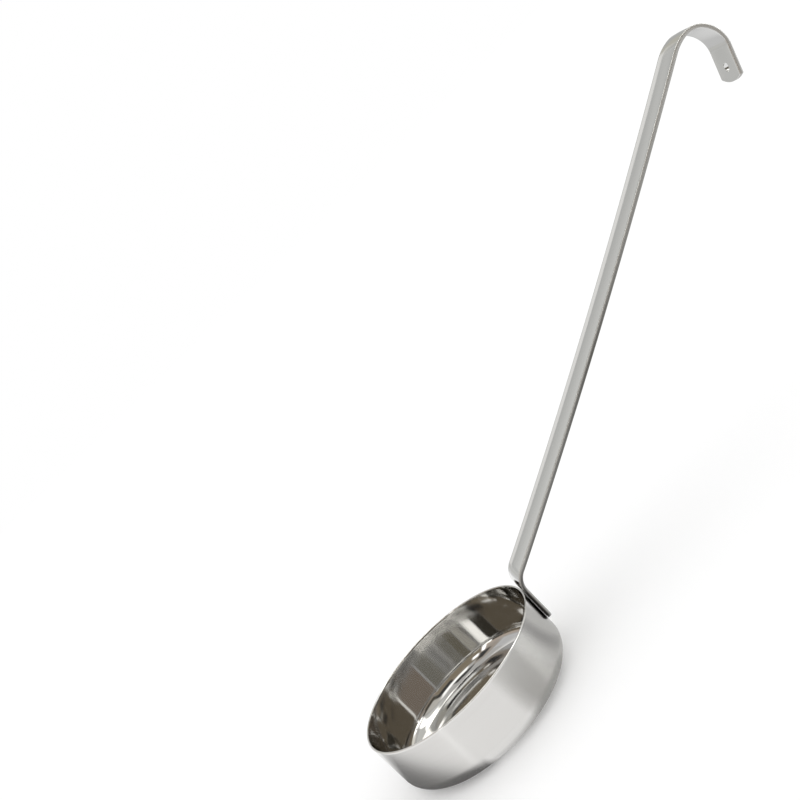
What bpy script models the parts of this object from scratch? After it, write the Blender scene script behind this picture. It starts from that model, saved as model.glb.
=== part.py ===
"""Flat-bottomed pizza sauce ladle in stainless steel.

A shallow pressed cup with a plain cut rim carries a long strap handle. The handle is one
strip of crowned flat bar: it is blanked with arched ends, punched with a hanging hole, and
then bent into a tab that lies along the cup's wall, a long leaning run and a hook. Two spot
welds between tab and wall hold it.

Frame: metres, +Z up. The origin is the centre of the cup's flat underside, the cup's mouth
faces +Z, and the handle leans out towards +X in the XZ plane.
"""

import math

import bmesh
import bpy
from mathutils import Matrix, Vector

MM = 0.001

# Cup: a shallow pressed bowl with straight walls and a flat floor
CUP_RADIUS = 45.0 * MM
CUP_HEIGHT = 29.0 * MM
CUP_WALL = 0.8 * MM
CUP_CORNER_REACH = 11.0 * MM
CUP_CORNER_RISE = 8.7 * MM
CUP_DRAFT = math.radians(0.5)
RIM_ROUNDING = 0.3 * MM

# Strap: the section of the flat bar that the handle is bent from
STRAP_WIDTH = 17.5 * MM
STRAP_THICKNESS = 2.0 * MM
STRAP_CROWN = 0.1 * MM
STRAP_EDGE_ROUNDING = 0.4 * MM
TAB_END_RISE = 3.8 * MM
TIP_END_RISE = 2.0 * MM

# Handle: lengths and bends along the strap's centre line, from the tab's end to the tip
TAB_OVERLAP = 17.0 * MM
TAB_ABOVE_RIM = 1.2 * MM
TAB_BEND_RADIUS = 8.0 * MM
HANDLE_LEAN = math.radians(62.5)
RUN_LENGTH = 220.0 * MM
RUN_BOW = math.radians(-4.0)
HOOK_ENTRY_RADIUS = 20.0 * MM
HOOK_ENTRY_TURN = math.radians(24.0)
HOOK_CROWN_RADIUS = 10.0 * MM
HOOK_CROWN_TURN = math.radians(54.0)
HOOK_EXIT_RADIUS = 13.5 * MM
HOOK_EXIT_TURN = math.radians(61.0)
TIP_LENGTH = 14.1 * MM

# Hanging hole near the hook's tip
HOLE_RADIUS = 2.0 * MM
HOLE_FROM_TIP = 6.6 * MM

# Spot welds: round nuggets in line up the middle of the tab
WELD_RADIUS = 2.0 * MM
WELD_THICKNESS = 0.6 * MM
WELD_PITCH = 7.0 * MM
WELD_EDGE_BEVEL = 0.1 * MM

# Air between pieces that touch on the real ladle
SEAT_CLEARANCE = 0.3 * MM

# Fineness of the round stretches
CUP_SEGMENTS = 88
CORNER_STEPS = 8
RIM_STEPS = 2
END_ARC_STEPS = 6
EDGE_ARC_STEPS = 3
CROWN_STEPS = 3
CHORD_ERROR = 0.02 * MM
HOLE_SEGMENTS = 28
WELD_SEGMENTS = 24
CUTTER_REACH = 3.0 * MM
MERGE_DISTANCE = 0.001 * MM
SHARP_ANGLE = math.radians(35.0)

# Finishes, as seen in daylight on white
CUP_COLOUR = (0.74, 0.73, 0.71, 1.0)
HANDLE_COLOUR = (0.66, 0.66, 0.64, 1.0)
WELD_COLOUR = (0.42, 0.41, 0.39, 1.0)


def clear_scene():
    """Remove every object that the scene starts with."""
    for item in list(bpy.data.objects):
        bpy.data.objects.remove(item, do_unlink=True)


def steel(name, colour, roughness):
    """A Principled material for bare stainless steel."""
    material = bpy.data.materials.new(name)
    material.use_nodes = True
    shader = material.node_tree.nodes["Principled BSDF"]
    shader.inputs["Base Color"].default_value = colour
    shader.inputs["Metallic"].default_value = 1.0
    shader.inputs["Roughness"].default_value = roughness
    return material


def cup_steel():
    """Bright polished sheet."""
    return steel("cup_steel", CUP_COLOUR, 0.16)


def handle_steel():
    """Satin flat bar, brushed along its length."""
    return steel("handle_steel", HANDLE_COLOUR, 0.32)


def weld_steel():
    """Dull fused metal."""
    return steel("weld_steel", WELD_COLOUR, 0.55)


def add_object(name, mesh, material=None):
    """Link a new object for a mesh, and give it its material."""
    item = bpy.data.objects.new(name, mesh)
    bpy.context.scene.collection.objects.link(item)
    if material:
        mesh.materials.append(material)
    return item


def mesh_from_bmesh(name, bm):
    """Turn a finished bmesh into a mesh with its faces pointing out."""
    bmesh.ops.recalc_face_normals(bm, faces=bm.faces)
    mesh = bpy.data.meshes.new(name)
    bm.to_mesh(mesh)
    bm.free()
    mesh.shade_smooth()
    mesh.set_sharp_from_angle(angle=SHARP_ANGLE)
    return mesh


def arc_points(centre, radius, start, end, steps):
    """Points along an arc in the XZ plane, both ends included."""
    angles = [start + (end - start) * step / steps for step in range(steps + 1)]
    return [
        (centre[0] + radius * math.cos(angle), centre[1] + radius * math.sin(angle))
        for angle in angles
    ]


def wall_radius(height, inset):
    """Radius of the drafted wall at a height, on the surface inset inside the outer one."""
    return CUP_RADIUS - inset / math.cos(CUP_DRAFT) - (CUP_HEIGHT - height) * math.tan(CUP_DRAFT)


def cup_corner(inset):
    """The elliptic corner from wall to floor, on the surface inset inside the outer one."""
    reach = CUP_CORNER_REACH - inset
    rise = CUP_CORNER_RISE - inset
    points = []
    for step in range(CORNER_STEPS + 1):
        angle = math.pi / 2 * step / CORNER_STEPS
        height = inset + rise * (1.0 - math.sin(angle))
        points.append((wall_radius(height, inset) - reach * (1.0 - math.cos(angle)), height))
    return points


def rim_points():
    """The rounded rim, from the inner wall to the outer wall."""
    inner_radius = CUP_RADIUS - CUP_WALL / math.cos(CUP_DRAFT)
    arc_height = CUP_HEIGHT - RIM_ROUNDING
    inner_centre = (inner_radius + RIM_ROUNDING, arc_height)
    outer_centre = (CUP_RADIUS - RIM_ROUNDING, arc_height)
    inner = arc_points(inner_centre, RIM_ROUNDING, math.pi, math.pi / 2, RIM_STEPS)
    outer = arc_points(outer_centre, RIM_ROUNDING, math.pi / 2, 0.0, RIM_STEPS)
    return inner + outer


def cup_outline():
    """Half section of the cup: inner floor, inner wall, rim, outer wall and underside."""
    inside = [(0.0, CUP_WALL)] + cup_corner(CUP_WALL)[::-1]
    outside = cup_corner(0.0) + [(0.0, 0.0)]
    return inside + rim_points() + outside


def make_cup():
    """Turn the cup's half section about its axis."""
    outline = [(radius, 0.0, height) for radius, height in cup_outline()]
    links = [(start, start + 1) for start in range(len(outline) - 1)]
    mesh = bpy.data.meshes.new("cup")
    mesh.from_pydata(outline, links, [])
    cup = add_object("cup", mesh, cup_steel())
    turn = cup.modifiers.new("turn", "SCREW")
    turn.axis = "Z"
    turn.angle = 2 * math.pi
    turn.steps = CUP_SEGMENTS
    turn.render_steps = CUP_SEGMENTS
    turn.use_merge_vertices = True
    turn.merge_threshold = MERGE_DISTANCE
    turn.use_smooth_shade = True
    return cup


def strap_stretches():
    """Length and turn of each stretch of the centre line, from the tab's end to the tip."""
    straight_tab = TAB_OVERLAP + TAB_ABOVE_RIM
    tab_turn = HANDLE_LEAN - CUP_DRAFT
    return (
        (straight_tab, 0.0),
        (TAB_BEND_RADIUS * tab_turn, tab_turn),
        (RUN_LENGTH, RUN_BOW),
        (HOOK_ENTRY_RADIUS * HOOK_ENTRY_TURN, HOOK_ENTRY_TURN),
        (HOOK_CROWN_RADIUS * HOOK_CROWN_TURN, HOOK_CROWN_TURN),
        (HOOK_EXIT_RADIUS * HOOK_EXIT_TURN, HOOK_EXIT_TURN),
        (TIP_LENGTH, 0.0),
    )


def strap_length():
    """Developed length of the strap."""
    return sum(length for length, turn in strap_stretches())


def tab_end():
    """Where the centre line starts, beside the wall, and its heading from +Z towards +X."""
    stand_off = SEAT_CLEARANCE + STRAP_THICKNESS / 2
    wall_x = CUP_RADIUS - TAB_OVERLAP * math.sin(CUP_DRAFT)
    x = wall_x + stand_off * math.cos(CUP_DRAFT)
    z = CUP_HEIGHT - TAB_OVERLAP * math.cos(CUP_DRAFT) - stand_off * math.sin(CUP_DRAFT)
    return x, z, CUP_DRAFT


def advance(x, z, heading, length, turn):
    """Follow a stretch of steady curvature to its end."""
    if abs(turn) < 1e-9:
        return x + length * math.sin(heading), z + length * math.cos(heading), heading
    radius = length / turn
    end_heading = heading + turn
    x += radius * (math.cos(heading) - math.cos(end_heading))
    z += radius * (math.sin(end_heading) - math.sin(heading))
    return x, z, end_heading


def centre_line(distance):
    """Place and heading of the centre line at a distance along it from the tab's end."""
    x, z, heading = tab_end()
    left = distance
    for length, turn in strap_stretches():
        part = min(left, length)
        x, z, heading = advance(x, z, heading, part, turn * part / length)
        left -= part
        if left <= 0.0:
            break
    return x, z, heading


def strap_frame(distance):
    """Axes of the strap at a distance: X across it, Y along it and Z out of its back."""
    x, z, heading = centre_line(distance)
    along = Vector((math.sin(heading), 0.0, math.cos(heading)))
    back = Vector((math.cos(heading), 0.0, -math.sin(heading)))
    across = along.cross(back)
    frame = Matrix((across, along, back)).transposed().to_4x4()
    frame.translation = Vector((x, 0.0, z))
    return frame


def end_arc_radius(rise):
    """Radius of an arched end, which rises by that much across the strap's width."""
    half_width = STRAP_WIDTH / 2
    return (half_width ** 2 + rise ** 2) / (2 * rise)


def half_width_at(distance):
    """Half the strap's width at a distance, narrowing along the arched ends."""
    for from_end, rise in ((distance, TAB_END_RISE), (strap_length() - distance, TIP_END_RISE)):
        if from_end < rise:
            radius = end_arc_radius(rise)
            return math.sqrt(max(radius ** 2 - (radius - from_end) ** 2, 0.0))
    return STRAP_WIDTH / 2


def half_thickness_at(across):
    """Half the strap's thickness at a place across it: crowned faces and rounded edges."""
    half_width = STRAP_WIDTH / 2
    crowned = STRAP_THICKNESS / 2 - STRAP_CROWN * (across / half_width) ** 2
    into_edge = abs(across) - (half_width - STRAP_EDGE_ROUNDING)
    if into_edge <= 0.0:
        return crowned
    drop = STRAP_EDGE_ROUNDING ** 2 - min(into_edge, STRAP_EDGE_ROUNDING) ** 2
    return crowned - STRAP_EDGE_ROUNDING + math.sqrt(max(drop, 0.0))


def arch_stations(rise):
    """Distances from an arched end at which it gets a section."""
    radius = end_arc_radius(rise)
    span = math.asin(STRAP_WIDTH / 2 / radius)
    return [
        radius * (1.0 - math.cos(span * step / END_ARC_STEPS)) for step in range(END_ARC_STEPS + 1)
    ]


def stations():
    """Distances along the strap at which it gets a section."""
    total = strap_length()
    found = arch_stations(TAB_END_RISE) + [total - rest for rest in arch_stations(TIP_END_RISE)]
    start = 0.0
    for length, turn in strap_stretches():
        steps = 1
        if turn:
            radius = length / abs(turn)
            step_angle = 2 * math.acos(1.0 - CHORD_ERROR / radius)
            steps = math.ceil(abs(turn) / step_angle)
        found += [start + length * step / steps for step in range(1, steps + 1)]
        start += length
    kept = []
    for distance in sorted(found):
        if not kept or distance - kept[-1] > MERGE_DISTANCE:
            kept.append(min(distance, total))
    return kept


def shares_across():
    """Places across the strap, as shares of its half width from -1 to 1."""
    flat_share = 1.0 - STRAP_EDGE_ROUNDING / (STRAP_WIDTH / 2)
    crown = [flat_share * step / CROWN_STEPS for step in range(CROWN_STEPS + 1)]
    edge = [
        flat_share + (1.0 - flat_share) * math.sin(math.pi / 2 * step / EDGE_ARC_STEPS)
        for step in range(1, EDGE_ARC_STEPS + 1)
    ]
    right = crown + edge
    return [-share for share in right[:0:-1]] + right


def add_station(bm, distance):
    """Rows of vertices across the strap's back and front faces at a distance."""
    frame = strap_frame(distance)
    half_width = half_width_at(distance)
    if half_width < MERGE_DISTANCE:
        middle = half_thickness_at(0.0)
        back = bm.verts.new(frame @ Vector((0.0, 0.0, middle)))
        front = bm.verts.new(frame @ Vector((0.0, 0.0, -middle)))
        return [back] * len(shares_across()), [front] * len(shares_across())
    rows = ([], [])
    for share in shares_across():
        across = share * half_width
        height = half_thickness_at(across)
        rows[0].append(bm.verts.new(frame @ Vector((across, 0.0, height))))
        rows[1].append(bm.verts.new(frame @ Vector((across, 0.0, -height))))
    return rows


def add_face(bm, corners):
    """A face on the corners, each used once, or nothing where fewer than three are left."""
    kept = list(dict.fromkeys(corners))
    if len(kept) > 2:
        bm.faces.new(kept)


def bent_strap():
    """The strap as one closed skin of sections swept along the centre line."""
    bm = bmesh.new()
    sections = [add_station(bm, distance) for distance in stations()]
    last = len(shares_across()) - 1
    for (back, front), (next_back, next_front) in zip(sections, sections[1:]):
        for place in range(last):
            add_face(bm, (back[place], back[place + 1], next_back[place + 1], next_back[place]))
            add_face(bm, (front[place], next_front[place], next_front[place + 1], front[place + 1]))
        for side in (0, last):
            add_face(bm, (back[side], next_back[side], next_front[side], front[side]))
    return mesh_from_bmesh("handle", bm)


def disc_mesh(name, radius, depth, segments):
    """A closed round disc about its own Z axis, centred on its middle."""
    bm = bmesh.new()
    bmesh.ops.create_cone(
        bm, cap_ends=True, segments=segments, radius1=radius, radius2=radius, depth=depth
    )
    return mesh_from_bmesh(name, bm)


def add_cutter(name, radius, low, high, distance, segments):
    """A round cutter on the strap's middle, from height low to height high over its centre line."""
    cutter = add_object(name, disc_mesh(name, radius, high - low, segments))
    cutter.matrix_world = strap_frame(distance) @ Matrix.Translation((0.0, 0.0, (low + high) / 2))
    cutter.hide_render = True
    cutter.display_type = "WIRE"
    return cutter


def cut(item, cutter):
    """Take a cutter's shape out of an object."""
    boolean = item.modifiers.new(cutter.name, "BOOLEAN")
    boolean.operation = "DIFFERENCE"
    boolean.solver = "EXACT"
    boolean.object = cutter


def weld_places():
    """Distances along the tab of the two spot welds, lower and upper."""
    middle = TAB_OVERLAP / 2
    return middle - WELD_PITCH / 2, middle + WELD_PITCH / 2


def weld_seat():
    """Height over the centre line of the weld's face, level with the tab's inner face."""
    return -STRAP_THICKNESS / 2


def make_handle():
    """Bend the strap, punch its hanging hole and sink the two weld seats."""
    handle = add_object("handle", bent_strap(), handle_steel())
    reach = STRAP_THICKNESS / 2 + CUTTER_REACH
    hole_place = strap_length() - HOLE_FROM_TIP
    cut(handle, add_cutter("hole_cutter", HOLE_RADIUS, -reach, reach, hole_place, HOLE_SEGMENTS))
    pocket_radius = WELD_RADIUS + SEAT_CLEARANCE
    pocket_top = weld_seat() + WELD_THICKNESS + SEAT_CLEARANCE
    for order, place in enumerate(weld_places()):
        name = "weld_cutter_" + str(order)
        cut(handle, add_cutter(name, pocket_radius, -reach, pocket_top, place, WELD_SEGMENTS))
    return handle


def make_spot_weld(name, place):
    """A round nugget in its seat between the tab and the cup's wall."""
    mesh = disc_mesh(name, WELD_RADIUS, WELD_THICKNESS, WELD_SEGMENTS)
    weld = add_object(name, mesh, weld_steel())
    middle = weld_seat() + WELD_THICKNESS / 2
    weld.matrix_world = strap_frame(place) @ Matrix.Translation((0.0, 0.0, middle))
    bevel = weld.modifiers.new("edge", "BEVEL")
    bevel.width = WELD_EDGE_BEVEL
    bevel.segments = 1
    bevel.limit_method = "ANGLE"
    return weld


def main():
    """Build the ladle's pieces."""
    clear_scene()
    make_cup()
    make_handle()
    for name, place in zip(("spot_weld_lower", "spot_weld_upper"), weld_places()):
        make_spot_weld(name, place)


main()
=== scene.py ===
"""Looks of the pizza sauce ladle: a polished steel cup and a satin strap handle.

The cup and the handle get fine meshes that stand in the places of their plain solids, and the
two spot welds between them keep their solids. Everything is in metres, in the ladle's own
frame: the origin is the centre of the cup's flat underside, +Z points out of the cup's mouth
and the handle leans out towards +X.
"""

import logging
import math
from dataclasses import dataclass
from enum import Enum
from typing import Any, ClassVar

import bpy
from mathutils import Euler, Matrix, Vector

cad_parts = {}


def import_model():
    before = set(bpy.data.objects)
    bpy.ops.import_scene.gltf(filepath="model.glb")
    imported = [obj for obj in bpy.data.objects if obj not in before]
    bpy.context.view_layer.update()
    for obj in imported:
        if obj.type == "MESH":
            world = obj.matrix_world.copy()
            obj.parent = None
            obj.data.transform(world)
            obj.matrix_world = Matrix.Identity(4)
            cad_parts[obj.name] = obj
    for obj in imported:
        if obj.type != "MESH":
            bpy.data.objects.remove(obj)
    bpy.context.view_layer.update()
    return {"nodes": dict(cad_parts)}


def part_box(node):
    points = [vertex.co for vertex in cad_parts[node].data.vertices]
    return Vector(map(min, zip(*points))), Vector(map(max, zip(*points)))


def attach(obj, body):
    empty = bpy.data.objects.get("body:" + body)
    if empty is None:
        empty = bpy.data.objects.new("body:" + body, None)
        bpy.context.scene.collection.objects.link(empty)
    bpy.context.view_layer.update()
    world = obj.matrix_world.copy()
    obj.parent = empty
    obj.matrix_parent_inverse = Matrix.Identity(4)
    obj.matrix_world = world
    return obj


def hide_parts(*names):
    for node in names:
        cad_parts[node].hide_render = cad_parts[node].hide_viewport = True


Pair = tuple[float, float]
Colour = tuple[float, float, float, float]
Socket = bpy.types.NodeSocket

MM = 0.001
MERGE_DISTANCE = 1e-6
QUARTER_TURN = 0.25
INPUT_KINDS = {
    float: "NodeSocketFloat",
    int: "NodeSocketInt",
    Vector: "NodeSocketVector",
    Euler: "NodeSocketRotation",
    bpy.types.Material: "NodeSocketMaterial",
}
LOG = logging.getLogger("ladle")


class Slot(Enum):
    """Material slot names of the record; the new pieces don't use them."""

    CUP = "cup_steel"
    HANDLE = "handle_steel"


class Surface(Enum):
    """Which stretch of the cup's outline a point is on, as the value of its mesh attribute."""

    INNER_FLOOR = 0
    INNER_CORNER = 1
    INNER_WALL = 2
    RIM = 3
    OUTER_WALL = 4
    OUTER_CORNER = 5
    UNDERSIDE = 6


class Graph:
    """A node tree under construction, for a material, a world or Geometry Nodes."""

    def __init__(self, tree: bpy.types.NodeTree) -> None:
        """Starts on a tree, which is emptied."""
        self.tree = tree
        tree.nodes.clear()

    def node(self, kind: str, feeds: dict[Any, Any] | None = None, **settings: Any) -> bpy.types.Node:
        """Adds a node.

        Args:
            kind: The node's type.
            feeds: Its inputs by name or number, each a socket to link or a value.
            settings: Its properties.

        Returns:
            The node.
        """
        node = self.tree.nodes.new(kind)
        for name, value in settings.items():
            setattr(node, name, value)
        for key, value in (feeds or {}).items():
            self.feed(node.inputs[key], value)
        return node

    def feed(self, socket: Socket, value: Any) -> None:
        """Links a socket to another one, or sets its value.

        Args:
            socket: The input.
            value: The output to link, or the value.
        """
        if isinstance(value, Socket):
            self.tree.links.new(value, socket)
        else:
            socket.default_value = value

    def math(self, operation: str, *terms: Any) -> Socket:
        """Adds a Math node for one to three sockets or numbers."""
        kind = "ShaderNodeMath"
        return self.node(kind, dict(enumerate(terms)), operation=operation).outputs[0]

    def blend(self, share: Any, first: Any, second: Any) -> Socket:
        """Mixes two numbers by the second one's share."""
        feeds = {"Factor": share, "A": first, "B": second}
        return self.node("ShaderNodeMix", feeds, data_type="FLOAT").outputs["Result"]

    def blend_colours(self, share: Any, first: Any, second: Any) -> Socket:
        """Mixes two colours.

        Args:
            share: The second colour's share.
            first: The colour at share 0.
            second: The colour at share 1.

        Returns:
            The result's socket.
        """
        mix = self.node("ShaderNodeMix", data_type="RGBA")
        for name, value in (("Factor", share), ("A", first), ("B", second)):
            self.feed(next(item for item in mix.inputs if item.name == name and item.enabled), value)
        return next(item for item in mix.outputs if item.enabled)

    def noise(self, vector: Any, scale: float, detail: float) -> Socket:
        """Adds a noise texture, whose number is about 0.5 on average."""
        feeds = {"Vector": vector, "Scale": scale, "Detail": detail}
        return self.node("ShaderNodeTexNoise", feeds).outputs[0]

    def uneven(self, noise: Any, depth: float, middle: float = 1.0) -> Socket:
        """Turns a noise into a number that varies by depth round a middle value."""
        return self.math("MULTIPLY_ADD", noise, depth, middle - depth / 2)

    def span(self, value: Any, first: float, last: float) -> Socket:
        """How far a number has come from the first value to the last, as a share."""
        feeds = {"Value": value, "From Min": first, "From Max": last}
        return self.node("ShaderNodeMapRange", feeds).outputs[0]

    def ramp(self, share: Any, stops: list[tuple[float, Colour]]) -> Socket:
        """Adds a colour ramp.

        Args:
            share: The place on the ramp.
            stops: Place and colour of each stop.

        Returns:
            The colour's socket.
        """
        ramp = self.node("ShaderNodeValToRGB", {0: share})
        points = ramp.color_ramp.elements
        while len(points) < len(stops):
            points.new(0.5)
        for point, (place, colour) in zip(points, stops):
            point.position = place
            point.color = colour
        return ramp.outputs[0]

    def attribute(self, label: str) -> Socket:
        """Reads a named number attribute."""
        return self.node("ShaderNodeAttribute", attribute_name=label).outputs["Fac"]

    def parts(self, vector: Any) -> Any:
        """Splits a vector into its X, Y and Z."""
        return self.node("ShaderNodeSeparateXYZ", {0: vector}).outputs

    def vector(self, x: Any = 0.0, y: Any = 0.0, z: Any = 0.0) -> Socket:
        """Joins X, Y and Z to a vector."""
        return self.node("ShaderNodeCombineXYZ", {0: x, 1: y, 2: z}).outputs[0]

    def product(self, first: Any, *factors: Any) -> Socket:
        """Multiplies numbers.

        Args:
            first: The first number.
            factors: The numbers to multiply it by.

        Returns:
            The product's socket.
        """
        for factor in factors:
            first = self.math("MULTIPLY", first, factor)
        return first

    def square(self, value: Any) -> Socket:
        """Squares a number."""
        return self.math("POWER", value, 2.0)

    def surface(self, shader: Any) -> None:
        """Ends the graph in a material's surface."""
        self.node("ShaderNodeOutputMaterial", {"Surface": shader})

    def steel(self, **feeds: Any) -> None:
        """Ends the graph in a metal shader. In an input's name, _ stands for a space."""
        named = {name.replace("_", " "): value for name, value in feeds.items()}
        self.surface(self.node("ShaderNodeBsdfPrincipled", {"Metallic": 1.0, **named}).outputs[0])


def new_material(name: str) -> tuple[bpy.types.Material, Graph]:
    """Makes a material with an empty graph.

    Args:
        name: The material's name.

    Returns:
        The material and its graph.
    """
    material = bpy.data.materials.new(name)
    material.use_nodes = True
    return material, Graph(material.node_tree)


def new_object(name: str, data: Any) -> bpy.types.Object:
    """Makes an object and links it to the scene.

    Args:
        name: The object's name.
        data: Its mesh or camera.

    Returns:
        The object.
    """
    item = bpy.data.objects.new(name, data)
    bpy.context.scene.collection.objects.link(item)
    return item


class GeometryTree(Graph):
    """A Geometry Nodes tree with named inputs, applied through a modifier."""

    def __init__(self, name: str, **inputs: Any) -> None:
        """Makes the tree with its interface.

        Args:
            name: The tree's name.
            inputs: The value of each named input.
        """
        tree = bpy.data.node_groups.new(name, "GeometryNodeTree")
        super().__init__(tree)
        for way in ("OUTPUT", "INPUT"):
            tree.interface.new_socket("Geometry", in_out=way, socket_type="NodeSocketGeometry")
        self.values = {}
        for label, value in inputs.items():
            kind = next(kind for sort, kind in INPUT_KINDS.items() if isinstance(value, sort))
            item = tree.interface.new_socket(label, in_out="INPUT", socket_type=kind)
            self.values[item.identifier] = value
        self.given = self.node("NodeGroupInput").outputs

    def store(self, geometry: Any, label: str, value: Any, kind: str = "FLOAT",
              domain: str = "POINT") -> Socket:
        """Stores a field as a named attribute.

        Args:
            geometry: The geometry's socket.
            label: The attribute's name.
            value: The field.
            kind: The attribute's data type.
            domain: The attribute's domain.

        Returns:
            The geometry's socket.
        """
        feeds = {"Geometry": geometry, "Name": label, "Value": value}
        kinds = {"data_type": kind, "domain": domain}
        return self.node("GeometryNodeStoreNamedAttribute", feeds, **kinds).outputs[0]

    def attribute(self, label: str) -> Socket:
        """Reads a named number attribute."""
        kind = "GeometryNodeInputNamedAttribute"
        return self.node(kind, {"Name": label}, data_type="FLOAT").outputs[0]

    def position(self) -> Socket:
        """The points' positions."""
        return self.node("GeometryNodeInputPosition").outputs[0]

    def placed(self, geometry: Any, **feeds: Any) -> Socket:
        """Moves points by an Offset or to a Position."""
        return self.node("GeometryNodeSetPosition", {0: geometry, **feeds}).outputs[0]

    def merged(self, geometry: Any) -> Socket:
        """Joins points that lie on one another."""
        feeds = {0: geometry, "Distance": MERGE_DISTANCE}
        return self.node("GeometryNodeMergeByDistance", feeds).outputs[0]

    def finish(self, geometry: Any, material: Any) -> None:
        """Ends the tree in Realize Instances and Set Material.

        Args:
            geometry: The geometry's socket.
            material: The material's socket.
        """
        real = self.node("GeometryNodeRealizeInstances", {0: geometry})
        dressed = self.node("GeometryNodeSetMaterial", {0: real.outputs[0], "Material": material})
        self.node("NodeGroupOutput", {0: dressed.outputs[0]})

    def apply(self, item: bpy.types.Object) -> None:
        """Puts the tree on an object as a modifier, with its inputs set.

        Args:
            item: The object.
        """
        modifier = item.modifiers.new(self.tree.name, "NODES")
        modifier.node_group = self.tree
        for identifier, value in self.values.items():
            modifier[identifier] = value


@dataclass(frozen=True)
class TurnedSteel:
    """Polished sheet whose fine lines run round the cup's axis.

    The lines blur reflections along the wall and leave them sharp round it. The drawn corners
    are polished brighter than the walls, and the underside is finely grained.
    """

    name: str = "cup_polish"
    # One steel in two tones: the inner colour is darker as painted shade of the hollow, and the outer colour
    # is lighter as painted light.
    shaded_inner_colour: Colour = (0.605, 0.60, 0.59, 1.0)
    lit_outer_colour: Colour = (0.735, 0.727, 0.712, 1.0)
    wall_roughness: float = 0.22
    corner_roughness: float = 0.06
    underside_roughness: float = 0.34
    inner_roughness: float = 0.06
    anisotropy: float = 1.0
    line_scale: float = 900.0
    line_detail: float = 3.0
    line_depth: float = 0.24
    line_drift: float = 0.0006

    def material(self) -> bpy.types.Material:
        """Builds the material.

        Returns:
            The material.
        """
        material, graph = new_material(self.name)
        tangent = graph.node("ShaderNodeTangent", direction_type="RADIAL", axis="Z")
        # The inside takes the painted-shade colour; the rim and outside take the painted-light colour.
        inner, outer = self.shaded_inner_colour, self.lit_outer_colour
        graph.steel(
            Base_Color=self.by_surface(graph, [inner, inner, inner, outer, outer, outer, outer]),
            Roughness=self.roughness(graph),
            Anisotropic=self.anisotropy,
            Anisotropic_Rotation=QUARTER_TURN,
            Tangent=tangent.outputs[0],
        )
        return material

    def roughness(self, graph: Graph) -> Socket:
        """Roughness by surface, with faint circular streaks.

        Args:
            graph: The material's graph.

        Returns:
            The roughness's socket.
        """
        inner, corner, wall = self.inner_roughness, self.corner_roughness, self.wall_roughness
        values = [inner, corner, inner, corner, wall, wall, self.underside_roughness]
        level = self.by_surface(graph, [(value, value, value, 1.0) for value in values])
        lines = graph.noise(self.ring_coordinates(graph), self.line_scale, self.line_detail)
        return graph.product(level, graph.uneven(lines, self.line_depth))

    def by_surface(self, graph: Graph, colours: list[Colour]) -> Socket:
        """Picks a colour for each kind of surface, with a blend between neighbours.

        Args:
            graph: The material's graph.
            colours: A colour for each member of Surface, in its order.

        Returns:
            The colour's socket.
        """
        last = len(Surface) - 1
        share = graph.math("DIVIDE", graph.attribute("surface"), float(last))
        return graph.ramp(share, [(place / last, colour) for place, colour in enumerate(colours)])

    def ring_coordinates(self, graph: Graph) -> Socket:
        """Coordinates that change across the turning lines and hardly along them.

        Args:
            graph: The material's graph.

        Returns:
            A vector's socket.
        """
        x, y, z = graph.parts(graph.node("ShaderNodeTexCoord").outputs["Object"])
        radius = graph.math("SQRT", graph.math("ADD", graph.square(x), graph.square(y)))
        angle = graph.product(graph.math("ARCTAN2", y, x), self.line_drift)
        return graph.vector(radius, z, angle)


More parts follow.
